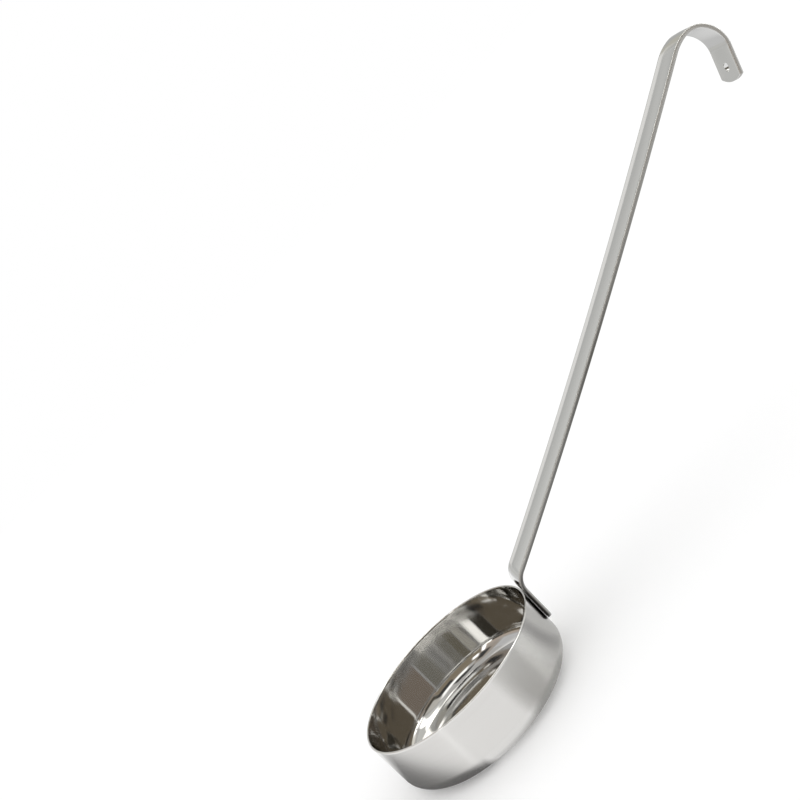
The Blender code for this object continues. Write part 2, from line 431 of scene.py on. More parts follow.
@dataclass(frozen=True)
class BrushedSteel:
    """Satin flat bar, brushed along its length."""

    name: str = "handle_brush"
    colour: Colour = (0.70, 0.70, 0.69, 1.0)
    # The cut edge's colours: near-black at the tab is painted shade of the gap at the wall; the bend and run
    # are darker sheared metal with painted shade; the lighter hook is a painted highlight.
    tab_edge_painted_shade: Colour = (0.05, 0.047, 0.043, 1.0)
    bend_edge_colour: Colour = (0.25, 0.245, 0.235, 1.0)
    run_edge_colour: Colour = (0.12, 0.115, 0.105, 1.0)
    hook_edge_painted_highlight: Colour = (0.42, 0.41, 0.39, 1.0)
    edge_places: tuple[float, ...] = (0.062, 0.085, 0.40, 0.85)
    # The next lines lay the face's colour over the edge roundings as a painted highlight: on the front beyond
    # the tab, and on the tab's back.
    front_painted_highlight: float = 0.85
    front_highlight_range: Pair = (-0.2, -0.7)
    back_highlight_range: Pair = (-0.2, 0.6)
    tab_range: Pair = (23.0 * MM, 17.0 * MM)
    ramp_length: float = 300.0 * MM
    roughness: float = 0.11
    edge_roughness: float = 0.34
    anisotropy: float = 0.8
    line_scale: tuple[float, float, float] = (4000.0, 18.0, 1.0)
    line_detail: float = 3.0
    line_depth: float = 0.5

    def edge_tones_and_painted_light(self) -> list[tuple[float, Colour]]:
        """Colours of the cut edge: darker sheared metal, with painted shade towards the tab and a painted
        highlight at the hook.

        Returns:
            Place and colour of each stop, as shares of the ramp's length.
        """
        tab, bend = self.tab_edge_painted_shade, self.bend_edge_colour
        run, hook = self.run_edge_colour, self.hook_edge_painted_highlight
        return list(zip(self.edge_places, (tab, bend, run, hook)))

    def edge_colour(self, graph: Graph) -> Socket:
        """Colour of the cut edge, with painted shade and highlight along it, and a painted highlight in the
        face's colour along the tab's back rounding and the front rounding beyond the tab.

        Args:
            graph: The material's graph.

        Returns:
            The colour's socket.
        """
        along, side = graph.attribute("along"), graph.attribute("side")
        # Painted shade and highlight along the edge, from the tab to the hook.
        dull = graph.ramp(graph.math("DIVIDE", along, self.ramp_length), self.edge_tones_and_painted_light())
        on_tab = graph.span(along, *self.tab_range)
        back = graph.product(graph.span(side, *self.back_highlight_range), on_tab)
        off_tab = graph.math("SUBTRACT", 1.0, on_tab)
        front = graph.product(graph.span(side, *self.front_highlight_range), self.front_painted_highlight, off_tab)
        return graph.blend_colours(front, graph.blend_colours(back, dull, self.colour), self.colour)

    def material(self) -> bpy.types.Material:
        """Builds the material.

        Returns:
            The material.
        """
        material, graph = new_material(self.name)
        length = graph.node("ShaderNodeUVMap", uv_map="UVMap").outputs[0]
        stretch = graph.node("ShaderNodeMapping", {"Vector": length, "Scale": self.line_scale})
        lines = graph.noise(stretch.outputs[0], 1.0, self.line_detail)
        tangent = graph.node("ShaderNodeTangent", direction_type="UV_MAP", uv_map="UVMap")
        edge = graph.attribute("edge")
        level = graph.blend(edge, self.roughness, self.edge_roughness)
        graph.steel(
            Base_Color=graph.blend_colours(edge, self.colour, self.edge_colour(graph)),
            Roughness=graph.product(graph.uneven(lines, self.line_depth), level),
            Anisotropic=self.anisotropy,
            Anisotropic_Rotation=QUARTER_TURN,
            Tangent=tangent.outputs[0],
        )
        return material


@dataclass(frozen=True)
class WeldSteel:
    """Dull fused metal between tab and wall."""

    name: str = "weld_metal"
    colour: Colour = (0.42, 0.41, 0.39, 1.0)
    roughness: float = 0.55
    grain_scale: float = 2500.0
    grain_detail: float = 4.0
    grain_depth: float = 0.3
    bump_strength: float = 0.4
    bump_height: float = 0.1 * MM

    def material(self) -> bpy.types.Material:
        """Builds the material.

        Returns:
            The material.
        """
        material, graph = new_material(self.name)
        place = graph.node("ShaderNodeTexCoord").outputs["Object"]
        grain = graph.noise(place, self.grain_scale, self.grain_detail)
        feeds = {"Height": grain, "Strength": self.bump_strength, "Distance": self.bump_height}
        graph.steel(
            Base_Color=self.colour,
            Roughness=graph.uneven(grain, self.grain_depth, self.roughness),
            Normal=graph.node("ShaderNodeBump", feeds).outputs[0],
        )
        return material


def polyline(name: str, points: list[Vector], **attributes: list[float]) -> bpy.types.Object:
    """A mesh of points joined in a row, with a number attribute for each keyword.

    Args:
        name: The object's name.
        points: The points.
        attributes: One number for each point, under the attribute's name.

    Returns:
        The object, linked to the scene.
    """
    mesh = bpy.data.meshes.new(name)
    mesh.from_pydata(points, [(start, start + 1) for start in range(len(points) - 1)], [])
    for label, values in attributes.items():
        mesh.attributes.new(label, "FLOAT", "POINT").data.foreach_set("value", values)
    return new_object(name, mesh)


def settle(item: bpy.types.Object, sharp: float) -> bpy.types.Object:
    """Turns an object's modifiers into its plain mesh.

    Args:
        item: The object.
        sharp: Angle over which an edge stays sharp.

    Returns:
        The same object.
    """
    depsgraph = bpy.context.evaluated_depsgraph_get()
    mesh = bpy.data.meshes.new_from_object(item.evaluated_get(depsgraph), depsgraph=depsgraph)
    item.modifiers.clear()
    old, item.data = item.data, mesh
    bpy.data.meshes.remove(old)
    mesh.name = item.name
    for index in reversed(range(len(mesh.materials))):
        if not mesh.materials[index]:
            mesh.materials.pop(index=index)
    mesh.shade_smooth()
    mesh.set_sharp_from_angle(angle=sharp)
    return item


@dataclass
class Cup:
    """The pressed cup: a turned outline with straight walls, a round corner and a flat floor."""

    radius: float
    height: float
    wall: float = 0.8 * MM
    corner_reach: float = 11.0 * MM
    corner_rise: float = 8.7 * MM
    draft: float = math.radians(0.5)
    rim_rounding: float = 0.3 * MM
    rim_steps: int = 4
    step: float = 0.5 * MM
    segments: int = 360
    sharp: float = math.radians(50.0)
    dent_depth: float = 0.12 * MM
    dent_size: float = 2.2 * MM
    weld_heights: Pair = (17.0 * MM, 24.0 * MM)
    finish: TurnedSteel = TurnedSteel()

    def corner(self, inset: float, surface: Surface) -> list[tuple[float, float, Surface]]:
        """The corner's curve on the surface that lies inset inside the outer one, wall to floor.

        Args:
            inset: Distance inside the outer surface.
            surface: The kind of surface that the points get.

        Returns:
            Radius, height and surface of each point.
        """
        reach, rise = self.corner_reach - inset, self.corner_rise - inset
        count = math.ceil(max(reach, rise) * math.pi / 2 / self.step)
        found = []
        for step in range(count + 1):
            angle = math.pi / 2 * step / count
            height = inset + rise * (1.0 - math.sin(angle))
            narrowing = (self.height - height) * math.tan(self.draft)
            wall = self.radius - inset / math.cos(self.draft) - narrowing
            found.append((wall - reach * (1.0 - math.cos(angle)), height, surface))
        return found

    def straight(self, start: Pair, end: Pair,
                 surface: Surface) -> list[tuple[float, float, Surface]]:
        """Points inside a straight stretch, both ends left out.

        Args:
            start: Radius and height of its start.
            end: Radius and height of its end.
            surface: The kind of surface that the points get.

        Returns:
            Radius, height and surface of each point.
        """
        count = max(2, math.ceil(math.dist(start, end) / (2 * self.step)))
        shares = [step / count for step in range(1, count)]
        return [
            (start[0] + (end[0] - start[0]) * share, start[1] + (end[1] - start[1]) * share, surface)
            for share in shares
        ]

    def rim(self) -> list[tuple[float, float, Surface]]:
        """The rounded rim, from the inner wall to the outer wall.

        Returns:
            Radius, height and surface of each point.
        """
        inner = self.radius - self.wall + self.rim_rounding
        outer = self.radius - self.rim_rounding
        level = self.height - self.rim_rounding
        found = []
        for centre, start in ((inner, math.pi), (outer, math.pi / 2)):
            for step in range(self.rim_steps + 1):
                angle = start - math.pi / 2 * step / self.rim_steps
                radius = centre + self.rim_rounding * math.cos(angle)
                found.append((radius, level + self.rim_rounding * math.sin(angle), Surface.RIM))
        return found

    def outline(self) -> list[tuple[float, float, Surface]]:
        """Half section: inner floor, inner wall, rim, outer wall and underside.

        Returns:
            Radius, height and surface of each point.
        """
        inner_corner = self.corner(self.wall, Surface.INNER_CORNER)[::-1]
        outer_corner = self.corner(0.0, Surface.OUTER_CORNER)
        rim = self.rim()
        inner_floor = (0.0, self.wall, Surface.INNER_FLOOR)
        underside = (0.0, 0.0, Surface.UNDERSIDE)
        return [
            inner_floor,
            *self.straight(inner_floor[:2], inner_corner[0][:2], Surface.INNER_FLOOR),
            *inner_corner,
            *self.straight(inner_corner[-1][:2], rim[0][:2], Surface.INNER_WALL),
            *rim,
            *self.straight(rim[-1][:2], outer_corner[0][:2], Surface.OUTER_WALL),
            *outer_corner,
            *self.straight(outer_corner[-1][:2], underside[:2], Surface.UNDERSIDE),
            underside,
        ]

    def turning(self, material: bpy.types.Material) -> GeometryTree:
        """The tree that turns the outline round the axis and marks it as made.

        Args:
            material: The cup's material.

        Returns:
            The tree.
        """
        tree = GeometryTree(
            "cup_turning",
            radius=self.radius,
            segments=self.segments,
            dent_depth=self.dent_depth,
            dent_size=self.dent_size,
            lower_weld=self.weld_heights[0],
            upper_weld=self.weld_heights[1],
            material=material,
        )
        given = tree.given
        outline = tree.node("GeometryNodeMeshToCurve", {0: given["Geometry"]}).outputs[0]
        feeds = {"Resolution": given["segments"], "Radius": given["radius"]}
        circle = tree.node("GeometryNodeCurvePrimitiveCircle", feeds).outputs[0]
        swept = tree.node("GeometryNodeCurveToMesh", {0: circle, 1: outline}).outputs[0]
        tree.finish(self.dents(tree, tree.merged(swept)), given["material"])
        return tree

    def dents(self, tree: GeometryTree, geometry: Any) -> Socket:
        """Shallow marks that the welding electrode left inside the wall.

        Args:
            tree: The tree.
            geometry: The geometry's socket.

        Returns:
            The geometry's socket.
        """
        given = tree.given
        x, y, z = tree.parts(tree.position())
        depth: Any = 0.0
        for level in (given["lower_weld"], given["upper_weld"]):
            rise = tree.math("SUBTRACT", z, level)
            squares = tree.math("ADD", tree.square(y), tree.square(rise))
            share = tree.math("DIVIDE", squares, tree.square(given["dent_size"]))
            depth = tree.math("ADD", depth, tree.math("EXPONENT", tree.product(share, -1.0)))
        inner = tree.math("COMPARE", tree.attribute("surface"), float(Surface.INNER_WALL.value), 0.5)
        on_side = tree.math("GREATER_THAN", x, 0.0)
        offset = tree.vector(tree.product(depth, given["dent_depth"], inner, on_side))
        return tree.placed(geometry, Offset=offset)

    def build(self) -> bpy.types.Object:
        """Makes the cup's mesh in the place of its solid.

        Returns:
            The piece.
        """
        outline = self.outline()
        points = [Vector((radius - self.radius, -height, 0.0)) for radius, height, _ in outline]
        item = polyline("cup_shell", points, surface=[float(kind.value) for *_, kind in outline])
        self.turning(self.finish.material()).apply(item)
        settle(item, self.sharp)
        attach(item, "root")
        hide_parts("cup")
        return item


@dataclass
class Stretch:
    """A stretch of steady curvature in the handle's centre line."""

    length: float
    turn: float = 0.0


@dataclass
class Handle:
    """The strap handle, bent from one strip: tab, leaning run and hook."""

    cup_radius: float
    cup_height: float
    width: float = 17.5 * MM
    thickness: float = 2.0 * MM
    crown: float = 0.1 * MM
    edge_rounding: float = 0.4 * MM
    rounding_steps: int = 4
    tab_rise: float = 3.8 * MM
    tip_rise: float = 2.0 * MM
    draft: float = math.radians(0.5)
    seat: float = 0.3 * MM
    tab_overlap: float = 17.0 * MM
    tab_above_rim: float = 1.2 * MM
    tab_bend: float = 8.0 * MM
    lean: float = math.radians(62.5)
    run: float = 220.0 * MM
    bow: float = math.radians(-4.0)
    hook_bends: tuple[Pair, ...] = (
        (20.0 * MM, math.radians(24.0)),
        (10.0 * MM, math.radians(54.0)),
        (13.5 * MM, math.radians(61.0)),
    )
    tip: float = 14.1 * MM
    hole_radius: float = 2.0 * MM
    hole_sides: int = 48
    hole_from_tip: float = 6.6 * MM
    front_edge_share: float = 0.95
    back_edge_share: float = 0.99
    bend_step: float = math.radians(1.5)
    flat_step: float = 2.5 * MM
    least_step: float = 0.02 * MM
    arch_steps: int = 16
    face_cuts: int = 17
    face_level: float = 0.499
    facet_start: float = 3.3 * MM
    facet_drop: float = 0.14 * MM
    press: float = 0.25 * MM
    press_end: float = 30.0 * MM
    sharp: float = math.radians(32.0)
    finish: BrushedSteel = BrushedSteel()

    def stretches(self) -> list[Stretch]:
        """The centre line's stretches.

        Returns:
            The stretches, from the tab's end to the hook's tip.
        """
        tab_turn = self.lean - self.draft
        return [
            Stretch(self.tab_overlap + self.tab_above_rim),
            Stretch(self.tab_bend * tab_turn, tab_turn),
            Stretch(self.run, self.bow),
            *(Stretch(radius * turn, turn) for radius, turn in self.hook_bends),
            Stretch(self.tip),
        ]

    def length(self) -> float:
        """Developed length of the strap."""
        return sum(stretch.length for stretch in self.stretches())

    def start(self) -> tuple[Vector, float]:
        """Start of the centre line beside the wall.

        Returns:
            The place, and the heading from +Z towards +X.
        """
        off = self.seat + self.thickness / 2
        sine, cosine = math.sin(self.draft), math.cos(self.draft)
        radius = self.cup_radius - self.tab_overlap * sine + off * cosine
        level = self.cup_height - self.tab_overlap * cosine - off * sine
        return Vector((radius, 0.0, level)), self.draft

    def at(self, distance: float) -> tuple[Vector, float]:
        """Place and heading of the centre line.

        Args:
            distance: Distance along it from the tab's end.

        Returns:
            The place, and the heading from +Z towards +X.
        """
        place, heading = self.start()
        left = distance
        for stretch in self.stretches():
            share = min(left / stretch.length, 1.0)
            turned = heading + stretch.turn * share
            if stretch.turn:
                bend = stretch.length / stretch.turn
                place.x += bend * (math.cos(heading) - math.cos(turned))
                place.z += bend * (math.sin(turned) - math.sin(heading))
            else:
                place += Vector((math.sin(heading), 0.0, math.cos(heading))) * stretch.length * share
            heading = turned
            left -= stretch.length
            if left <= 0.0:
                break
        return place, heading

    def frame(self, distance: float) -> Matrix:
        """Axes at a distance: X across the strap, Y along it and Z out of its back.

        Args:
            distance: Distance along the centre line.

        Returns:
            The frame as a matrix.
        """
        place, heading = self.at(distance)
        along = Vector((math.sin(heading), 0.0, math.cos(heading)))
        back = Vector((math.cos(heading), 0.0, -math.sin(heading)))
        matrix = Matrix((along.cross(back), along, back)).transposed().to_4x4()
        matrix.translation = place
        return matrix

    def arc_radius(self, rise: float) -> float:
        """Radius of an arched end that rises by that much across the strap's width."""
        return ((self.width / 2) ** 2 + rise ** 2) / (2 * rise)

    def arch_stations(self, rise: float) -> list[float]:
        """Places along an arched end where the sweep gets a section.

        Args:
            rise: How far the end rises across the strap's width.

        Returns:
            Distances from the end.
        """
        arc = self.arc_radius(rise)
        span = math.asin(self.width / 2 / arc)
        angles = [span * step / self.arch_steps for step in range(self.arch_steps + 1)]
        return [arc * (1.0 - math.cos(angle)) for angle in angles]

    def stations(self) -> list[float]:
        """Places along the strap where the sweep gets a section.

        Returns:
            Distances along the centre line.
        """
        total = self.length()
        found = self.arch_stations(self.tab_rise)
        found += [total - rest for rest in self.arch_stations(self.tip_rise)]
        start = 0.0
        for stretch in self.stretches():
            steps = math.ceil(max(abs(stretch.turn) / self.bend_step, stretch.length / self.flat_step))
            found += [start + stretch.length * step / steps for step in range(steps + 1)]
            start += stretch.length
        kept = [0.0]
        for distance in sorted(found):
            if distance - kept[-1] > self.least_step:
                kept.append(min(distance, total))
        return kept

    def section(self, tree: GeometryTree) -> Socket:
        """The flat bar's section: crowned faces and rounded edges, as a closed curve.

        Args:
            tree: The tree.

        Returns:
            The curve's socket. Its attributes are the distance around the section, the side,
            which is 1 on the back and -1 on the front, and whether a point is on a cut edge.
        """
        given = tree.given
        feeds = {"Width": given["width"], "Height": given["thickness"]}
        box = tree.node("GeometryNodeCurvePrimitiveQuadrilateral", feeds).outputs[0]
        feeds = {0: box, "Radius": given["edge_rounding"], "Count": self.rounding_steps}
        rounded = tree.node("GeometryNodeFilletCurve", feeds, mode="POLY").outputs[0]
        x, y, _ = tree.parts(tree.position())
        level = tree.math("DIVIDE", tree.math("ABSOLUTE", y), given["thickness"])
        on_face = tree.math("GREATER_THAN", level, self.face_level)
        cuts = tree.product(on_face, float(self.face_cuts))
        fine = tree.node("GeometryNodeSubdivideCurve", {0: rounded, "Cuts": cuts}).outputs[0]
        share = tree.math("DIVIDE", x, tree.product(given["width"], 0.5))
        side = tree.math("DIVIDE", y, tree.product(given["thickness"], -0.5))
        drop = tree.product(tree.square(share), given["crown"], side)
        crowned = tree.placed(fine, Offset=tree.vector(y=drop))
        around = tree.node("GeometryNodeSplineParameter").outputs["Length"]
        # The edge mask gives the cut edge its colour, with its painted shade and highlights, and its
        # roughness. On the front it takes in the whole rounding.
        front = tree.math("LESS_THAN", side, 0.0)
        limit = tree.blend(front, self.back_edge_share, self.front_edge_share)
        edge = tree.math("GREATER_THAN", tree.math("ABSOLUTE", share), limit)
        for label, value in (("around", around), ("side", side), ("edge", edge)):
            crowned = tree.store(crowned, label, value)
        return crowned

    def sweeping(self, material: bpy.types.Material) -> GeometryTree:
        """The tree that sweeps the section, arches the ends and punches the hole.

        Args:
            material: The handle's material.

        Returns:
            The tree.
        """
        hole = self.frame(self.length() - self.hole_from_tip)
        tree = GeometryTree(
            "strap_sweep",
            width=self.width,
            thickness=self.thickness,
            crown=self.crown,
            edge_rounding=self.edge_rounding,
            length=self.length(),
            tab_arc=self.arc_radius(self.tab_rise),
            tip_arc=self.arc_radius(self.tip_rise),
            hole_place=hole.translation,
            hole_turn=hole.to_euler(),
            hole_radius=self.hole_radius,
            facet_start=self.facet_start,
            facet_drop=self.facet_drop,
            press=self.press,
            press_start=self.tab_overlap,
            press_end=self.press_end,
            material=material,
        )
        given = tree.given
        line = tree.node("GeometryNodeMeshToCurve", {0: given["Geometry"]}).outputs[0]
        normal = {0: line, "Normal": (0.0, 1.0, 0.0)}
        line = tree.node("GeometryNodeSetCurveNormal", normal, mode="FREE").outputs[0]
        feeds = {0: line, 1: self.section(tree), "Fill Caps": True}
        swept = tree.node("GeometryNodeCurveToMesh", feeds).outputs[0]
        uv = tree.vector(tree.attribute("around"), tree.attribute("along"))
        mapped = tree.store(swept, "UVMap", uv, "FLOAT2", "CORNER")
        arched = self.arches(tree, self.pressed(tree, self.facet(tree, mapped)))
        tree.finish(self.punch(tree, tree.merged(arched)), given["material"])
        return tree

    def facet(self, tree: GeometryTree, geometry: Any) -> Socket:
        """Lets the front face fall away slightly beside its +Y edge, as rolled bar does.

        Args:
            tree: The tree.
            geometry: The geometry's socket.

        Returns:
            The geometry's socket.
        """
        given = tree.given
        y = tree.parts(tree.position())[1]
        beyond = tree.math("MAXIMUM", tree.math("SUBTRACT", y, given["facet_start"]), 0.0)
        room = tree.math("SUBTRACT", tree.product(given["width"], 0.5), given["facet_start"])
        front = tree.math("MAXIMUM", tree.product(tree.attribute("side"), -1.0), 0.0)
        depth = tree.product(tree.math("DIVIDE", beyond, room), given["facet_drop"], front)
        return self.shift(tree, geometry, depth)

    def pressed(self, tree: GeometryTree, geometry: Any) -> Socket:
        """Presses the tab onto the wall, because the solids keep some air between them.

        Args:
            tree: The tree.
            geometry: The geometry's socket.

        Returns:
            The geometry's socket.
        """
        given = tree.given
        feeds = {
            "Value": tree.attribute("along"),
            "From Min": given["press_end"],
            "From Max": given["press_start"],
            "To Max": tree.product(given["press"], -1.0),
        }
        depth = tree.node("ShaderNodeMapRange", feeds, interpolation_type="SMOOTHSTEP").outputs[0]
        return self.shift(tree, geometry, depth)

    def shift(self, tree: GeometryTree, geometry: Any, depth: Any) -> Socket:
        """Moves points straight into the strap from its front face.

        Args:
            tree: The tree.
            geometry: The geometry's socket.
            depth: How far each point moves.

        Returns:
            The geometry's socket.
        """
        heading = tree.attribute("heading")
        across = tree.product(tree.math("COSINE", heading), depth)
        down = tree.product(tree.math("SINE", heading), depth, -1.0)
        return tree.placed(geometry, Offset=tree.vector(across, z=down))

    def arches(self, tree: GeometryTree, geometry: Any) -> Socket:
        """Draws the sides in along the arched ends.

        Args:
            tree: The tree.
            geometry: The geometry's socket.

        Returns:
            The geometry's socket.
        """
        given = tree.given
        along = tree.attribute("along")
        from_tip = tree.math("SUBTRACT", given["length"], along)
        halves = []
        tab = (along, self.tab_rise, given["tab_arc"])
        tip = (from_tip, self.tip_rise, given["tip_arc"])
        for distance, rise, arc in (tab, tip):
            rest = tree.math("SUBTRACT", arc, tree.math("MINIMUM", distance, rise))
            squares = tree.math("SUBTRACT", tree.square(arc), tree.square(rest))
            halves.append(tree.math("SQRT", tree.math("MAXIMUM", squares, 0.0)))
        half = tree.math("MINIMUM", *halves)
        share = tree.math("DIVIDE", half, tree.product(given["width"], 0.5))
        x, y, z = tree.parts(tree.position())
        return tree.placed(geometry, Position=tree.vector(x, tree.product(y, share), z))

    def punch(self, tree: GeometryTree, geometry: Any) -> Socket:
        """Cuts the hanging hole.

        Args:
            tree: The tree.
            geometry: The geometry's socket.

        Returns:
            The geometry's socket.
        """
        given = tree.given
        size = {"Radius": given["hole_radius"], "Depth": 4 * self.thickness}
        pin = tree.node("GeometryNodeMeshCylinder", {"Vertices": self.hole_sides, **size}).outputs[0]
        feeds = {0: pin, "Translation": given["hole_place"], "Rotation": given["hole_turn"]}
        feeds = {0: geometry, 1: tree.node("GeometryNodeTransform", feeds).outputs[0]}
        return tree.node("GeometryNodeMeshBoolean", feeds, operation="DIFFERENCE").outputs[0]

    def build(self) -> bpy.types.Object:
        """Makes the handle's mesh in the place of its solid.

        Returns:
            The piece.
        """
        stations = self.stations()
        places = [self.at(distance) for distance in stations]
        points = [place for place, _ in places]
        headings = [heading for _, heading in places]
        item = polyline("strap_handle", points, along=stations, heading=headings)
        self.sweeping(self.finish.material()).apply(item)
        settle(item, self.sharp)
        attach(item, "root")
        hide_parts("handle")
        return item


@dataclass
class Welds:
    """The two spot welds, which keep their solids and get a dull finish."""

    nodes: tuple[str, str] = ("spot_weld_lower", "spot_weld_upper")
    finish: WeldSteel = WeldSteel()

    def dress(self, nodes: dict[str, bpy.types.Object]) -> list[bpy.types.Object]:
        """Gives the solids their material.

        Args:
            nodes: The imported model's objects by node.

        Returns:
            The dressed solids.
        """
        material = self.finish.material()
        welds = [nodes[name] for name in self.nodes]
        for weld in welds:
            for slot in weld.material_slots:
                slot.material = material
        return welds


@dataclass(frozen=True)
class Glow:
    """A reflecting sheet or lamp front of the studio that shows only in the steel."""

    name: str
    tone: tuple[float, float, float]
    steps: ClassVar[int] = 12

    def lines(self, ends: Pair, soft: Pair) -> list[Pair]:
        """Places of a grid's lines, each with its cover: 0 on the border and 1 inside.

        Args:
            ends: First and last place.
            soft: How far the cover fades in at each end.

        Returns:
            Place and cover of each line.
        """
        first, last = ends[0] + soft[0], ends[1] - soft[1]
        stride = (last - first) / self.steps
        inside = [(first + stride * step, 1.0) for step in range(self.steps + 1)]
        return [(ends[0], 0.0), *inside, (ends[1], 0.0)]

    def hang(self, rows: list[list[tuple[Vector, float]]]) -> bpy.types.Object:
        """Makes the sheet from its grid.

        Args:
            rows: Place and cover of each point, row by row.

        Returns:
            The sheet.
        """
        wide = len(rows[0])
        faces = [
            (start, start + 1, start + wide + 1, start + wide)
            for row in range(len(rows) - 1)
            for start in range(row * wide, row * wide + wide - 1)
        ]
        mesh = bpy.data.meshes.new(self.name)
        mesh.from_pydata([place for row in rows for place, _ in row], [], faces)
        covers = [cover for row in rows for _, cover in row]
        mesh.attributes.new("cover", "FLOAT", "POINT").data.foreach_set("value", covers)
        mesh.materials.append(self.material())
        sheet = new_object(self.name, mesh)
        sheet.visible_camera = False
        sheet.visible_diffuse = False
        sheet.visible_shadow = False
        return sheet

    def material(self) -> bpy.types.Material:
        """An even glow that fades out towards the sheet's border.

        Returns:
            The material.
        """
        material, graph = new_material(self.name)
        material.cycles.emission_sampling = "NONE"
        glow = graph.node("ShaderNodeEmission", {"Color": (*self.tone, 1.0)}).outputs[0]
        clear = graph.node("ShaderNodeBsdfTransparent").outputs[0]
        feeds = {0: graph.attribute("cover"), 1: clear, 2: glow}
        graph.surface(graph.node("ShaderNodeMixShader", feeds).outputs[0])
        return material


@dataclass(frozen=True)
class Card(Glow):
    """A card that hangs round the table. Angles are in degrees; azimuth 0 is +Y and 90 is +X."""

    azimuths: Pair
    elevations: Pair
    soft_sides: Pair = (3.0, 3.0)
    soft_ends: Pair = (3.0, 3.0)
    slant: float = 0.0
    reach: float = 2.0

    def build(self) -> bpy.types.Object:
        """Hangs the card.

        Returns:
            The card.
        """
        columns = self.lines(self.azimuths, self.soft_sides)
        rows = []
        for level, row_cover in self.lines(self.elevations, self.soft_ends):
            rise = math.radians(level)
            row = []
            for turn, column_cover in columns:
                azimuth = math.radians(turn + self.slant * (level - self.elevations[0]))
                flat = Vector((math.sin(azimuth), math.cos(azimuth), 0.0)) * math.cos(rise)
                place = (flat + Vector((0.0, 0.0, math.sin(rise)))) * self.reach
                row.append((place, row_cover * column_cover))
            rows.append(row)
        return self.hang(rows)


@dataclass(frozen=True)
class Mat(Glow):
    """A flat sheet on the table, seen only in the steel, from one radius to another that may grow along its
    arc; the dark ones round the cup are painted shadow.
    """

    azimuths: Pair
    inner: float
    outer: Pair
    soft_sides: Pair = (8.0, 8.0)
    soft_ends: Pair = (2.0 * MM, 10.0 * MM)
    level: float = -0.05 * MM

    def build(self) -> bpy.types.Object:
        """Lays the mat.

        Returns:
            The mat.
        """
        first, last = self.azimuths
        rows = []
        for turn, row_cover in self.lines(self.azimuths, self.soft_sides):
            share = (turn - first) / (last - first)
            edge = self.outer[0] + (self.outer[1] - self.outer[0]) * share
            azimuth = math.radians(turn)
            row = []
            for radius, cover in self.lines((self.inner, edge), self.soft_ends):
                place = Vector((radius * math.sin(azimuth), radius * math.cos(azimuth), self.level))
                row.append((place, row_cover * cover))
            rows.append(row)
        return self.hang(rows)


